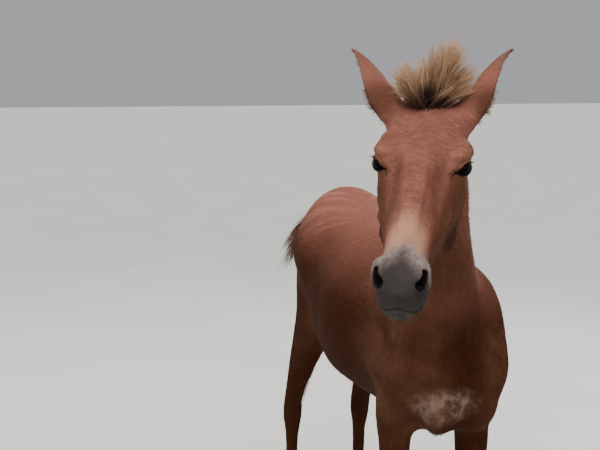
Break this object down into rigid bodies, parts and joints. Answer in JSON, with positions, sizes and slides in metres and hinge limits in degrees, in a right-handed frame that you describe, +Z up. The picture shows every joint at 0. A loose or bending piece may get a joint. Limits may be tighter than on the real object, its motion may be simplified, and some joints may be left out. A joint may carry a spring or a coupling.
{
  "type": "mule, young sorrel, standing figure",
  "caption": "Life-size standing mule figure with a short upright forelock and mane, long ears and its head turned aside, resting on four hooves.",
  "frame": {"origin": "centre of the part's bounding box in plan, on the floor plane that the four hooves stand on", "axes": "+Z up; the body faces -Y, so +Y runs from the chest to the rump; +X is the animal's left; the head is turned to the animal's right, towards -X"},
  "size_m": [0.6736, 1.7708, 1.7119],
  "materials": {
    "coat": "short sorrel hair, dull with a soft sheen on the croup, grey skin showing round the muzzle",
    "hair": "long coarse tail hair, brown with tan ends",
    "horn": "dark grey-brown hoof horn with faint growth rings, satin",
    "eye": "near-black wet eye, high gloss"
  },
  "bodies": {
    "root": {"head": "coat", "neck": "coat", "torso": "coat", "ear_left": "coat", "ear_right": "coat", "leg_front_left": "coat", "leg_front_right": "coat", "leg_hind_left": "coat", "leg_hind_right": "coat", "tail": "hair", "hoof_front_left": "horn", "hoof_front_right": "horn", "hoof_hind_left": "horn", "hoof_hind_right": "horn", "eye_left": "eye", "eye_right": "eye"}
  },
  "joints": []
}
